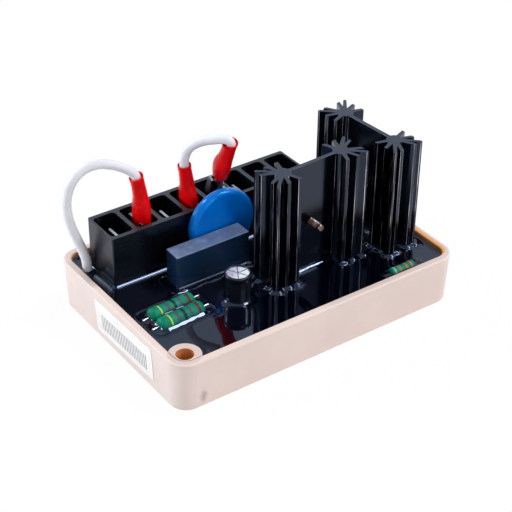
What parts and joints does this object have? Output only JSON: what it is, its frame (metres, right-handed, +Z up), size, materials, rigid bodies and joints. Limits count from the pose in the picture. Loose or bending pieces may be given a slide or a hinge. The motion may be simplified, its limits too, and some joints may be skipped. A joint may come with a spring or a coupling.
{
  "type": "automatic voltage regulator",
  "caption": "Potted automatic voltage regulator: moulded tray of black compound with a row of push-on terminals, star-finned heat sinks, capacitors, resistors and wire links.",
  "frame": {"origin": "centre of the tray's underside", "axes": "+X along the tray's long side, +Y to the terminal row, +Z up out of the tray"},
  "size_m": [0.1018, 0.068, 0.0544],
  "materials": {
    "tray_plastic": "satin moulded plastic",
    "potting_compound": "glossy cast resin",
    "board_laminate": "solder mask",
    "terminal_plastic": "moulded plastic",
    "sink_black": "black anodised extrusion",
    "tinned_steel": "tinned",
    "device_plastic": "moulded",
    "screw_brass": "dull",
    "film_blue": "satin moulded box",
    "varistor_blue": "glossy dipped coat",
    "can_aluminium": "bright",
    "can_sleeve": "shrunk sleeve",
    "resistor_green": "lacquered, with colour bands",
    "ceramic_tan": "fired",
    "receptacle_brass": "stamped",
    "sleeve_red": "soft vinyl",
    "wire_white": "satin insulation"
  },
  "bodies": {
    "root": {"tray": "tray_plastic", "circuit_board": "board_laminate", "potting": "potting_compound", "terminal_housing": "terminal_plastic", "spade_tab_1": "tinned_steel", "spade_tab_2": "tinned_steel", "spade_tab_3": "tinned_steel", "spade_tab_4": "tinned_steel", "spade_tab_5": "tinned_steel", "spade_tab_6": "tinned_steel", "spade_tab_7": "tinned_steel", "spade_tab_8": "tinned_steel", "heatsink_front": "sink_black", "heatsink_rear": "sink_black", "sink_pins": "tinned_steel", "thyristor_case": "device_plastic", "thyristor_frame": "tinned_steel", "diode_case": "device_plastic", "diode_frame": "tinned_steel", "screw_front": "screw_brass", "screw_rear": "screw_brass", "film_capacitor": "film_blue", "film_capacitor_leads": "tinned_steel", "varistor": "varistor_blue", "varistor_leads": "tinned_steel", "electrolytic_can": "can_aluminium", "electrolytic_sleeve": "can_sleeve", "electrolytic_leads": "tinned_steel", "resistor_1": "resistor_green", "resistor_2": "resistor_green", "resistor_3": "resistor_green", "resistor_leads_1": "tinned_steel", "resistor_leads_2": "tinned_steel", "resistor_leads_3": "tinned_steel", "control_chip": "device_plastic", "sensing_resistors": "device_plastic", "timing_capacitors": "ceramic_tan", "signal_diodes": "device_plastic", "receptacle_1": "receptacle_brass", "receptacle_2": "receptacle_brass", "receptacle_3": "receptacle_brass", "sleeve_1": "sleeve_red", "sleeve_2": "sleeve_red", "sleeve_3": "sleeve_red", "lead_wire": "wire_white", "jumper_wire": "wire_white"}
  },
  "joints": []
}
